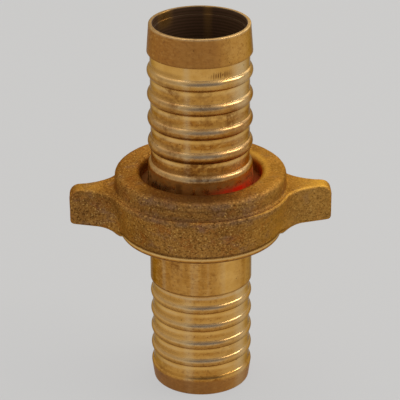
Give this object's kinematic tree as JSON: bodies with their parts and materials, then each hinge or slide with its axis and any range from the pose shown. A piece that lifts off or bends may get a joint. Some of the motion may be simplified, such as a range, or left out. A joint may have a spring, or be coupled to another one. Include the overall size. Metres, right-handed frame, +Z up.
{
  "type": "three-piece hose union",
  "caption": "Brass hose union: a cast wing nut clamps a ribbed collar tail onto a ribbed threaded tail, with a flat seal between their faces and a clear bore right through.",
  "frame": {"origin": "centre of the lowest end ring, on the face that the union stands on", "axes": "+Z up along the common axis of both tails and the nut, +X through one wing of the nut"},
  "size_m": [0.1282, 0.089, 0.1884],
  "materials": {
    "turned_brass": "turned on a lathe, bright, lightly stained",
    "cast_brass": "sand cast, matt and grainy",
    "red_fibre": "smooth red fibre sheet"
  },
  "bodies": {
    "threaded_tail": {"threaded_tail": "turned_brass"},
    "seal": {"sealing_washer": "red_fibre"},
    "wing_nut": {"wing_nut": "cast_brass"},
    "collar_tail": {"collar_tail": "turned_brass"}
  },
  "joints": [
    {"name": "union_lift", "type": "slide", "parent": "threaded_tail", "child": "seal", "axis": [0, 0, 1], "range_m": [0, 0.01732]},
    {"name": "nut_turn", "type": "hinge", "parent": "seal", "child": "wing_nut", "pos_m": [0, 0, 0.0967], "axis": [0, 0, 1], "range_deg": [0, 2700]},
    {"name": "tail_swivel", "type": "hinge", "parent": "seal", "child": "collar_tail", "pos_m": [0, 0, 0.1037], "axis": [0, 0, 1], "continuous": true}
  ],
  "couplings": [
    {"joint": "union_lift", "follows": "nut_turn", "m_per_rad": 0.00036749}
  ]
}
